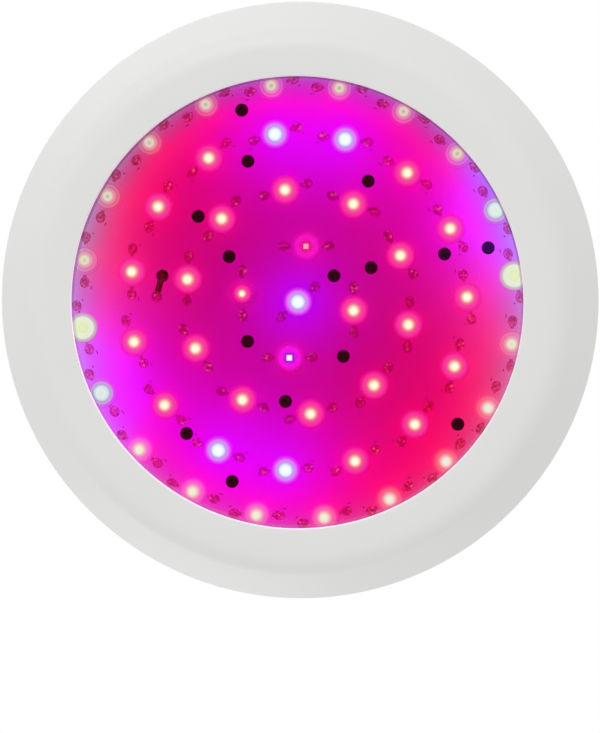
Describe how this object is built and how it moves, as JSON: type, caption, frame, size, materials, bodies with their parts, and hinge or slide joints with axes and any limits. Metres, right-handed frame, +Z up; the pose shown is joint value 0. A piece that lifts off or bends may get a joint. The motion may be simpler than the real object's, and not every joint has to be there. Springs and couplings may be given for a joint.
{
  "type": "led grow light",
  "caption": "Round LED grow light that hangs window down, with a white ring bezel, a lit LED board, a rear fan and three eye bolts.",
  "frame": {"origin": "centre of the plane that the flat front lip lies in, under the middle of the window", "axes": "+Z up out of the back, along the lamp's own axis and the fan's; the mains inlet is on the -Y side of the back"},
  "size_m": [0.265, 0.265, 0.0797],
  "materials": {
    "white_housing": "satin",
    "clear_window": "polished",
    "seal": "matte",
    "led_board": "satin",
    "heat_sink": "extruded",
    "black_screws": "black oxide",
    "plated_steel": "zinc plated",
    "bright_wire": "nickel plated",
    "black_plastic": "moulded",
    "driver_case": "moulded",
    "red_insulation": "satin"
  },
  "bodies": {
    "housing": {"board_screw_1": "black_screws", "board_screw_10": "black_screws", "board_screw_11": "black_screws", "board_screw_12": "black_screws", "board_screw_13": "black_screws", "board_screw_14": "black_screws", "board_screw_15": "black_screws", "board_screw_2": "black_screws", "board_screw_3": "black_screws", "board_screw_4": "black_screws", "board_screw_5": "black_screws", "board_screw_6": "black_screws", "board_screw_7": "black_screws", "board_screw_8": "black_screws", "board_screw_9": "black_screws", "board_spacer": "white_housing", "case_screw_1": "plated_steel", "case_screw_2": "plated_steel", "case_screw_3": "plated_steel", "case_screw_4": "plated_steel", "case_screw_5": "plated_steel", "case_screw_6": "plated_steel", "driver_screw_1": "plated_steel", "driver_screw_2": "plated_steel", "driver_screw_3": "plated_steel", "driver_screw_4": "plated_steel", "eye_bolt_1": "plated_steel", "eye_bolt_2": "plated_steel", "eye_bolt_3": "plated_steel", "eye_nut_1": "plated_steel", "eye_nut_2": "plated_steel", "eye_nut_3": "plated_steel", "fan_frame": "black_plastic", "fan_guard": "bright_wire", "fan_screw_1": "black_screws", "fan_screw_2": "black_screws", "fan_screw_3": "black_screws", "fan_screw_4": "black_screws", "front_bezel": "white_housing", "heat_sink": "heat_sink", "inlet_pin_earth": "plated_steel", "inlet_pin_live": "plated_steel", "inlet_pin_neutral": "plated_steel", "led_board": "led_board", "led_driver_1": "driver_case", "led_driver_2": "driver_case", "led_wire": "red_insulation", "mains_inlet": "black_plastic", "rear_housing": "white_housing", "sink_screw_1": "plated_steel", "sink_screw_2": "plated_steel", "sink_screw_3": "plated_steel", "sink_screw_4": "plated_steel", "window": "clear_window", "window_seal": "seal"},
    "fan": {"fan_rotor": "black_plastic"}
  },
  "joints": [
    {"name": "fan_spin", "type": "hinge", "parent": "housing", "child": "fan", "pos_m": [0, 0, 0.048], "axis": [0, 0, 1], "continuous": true}
  ]
}
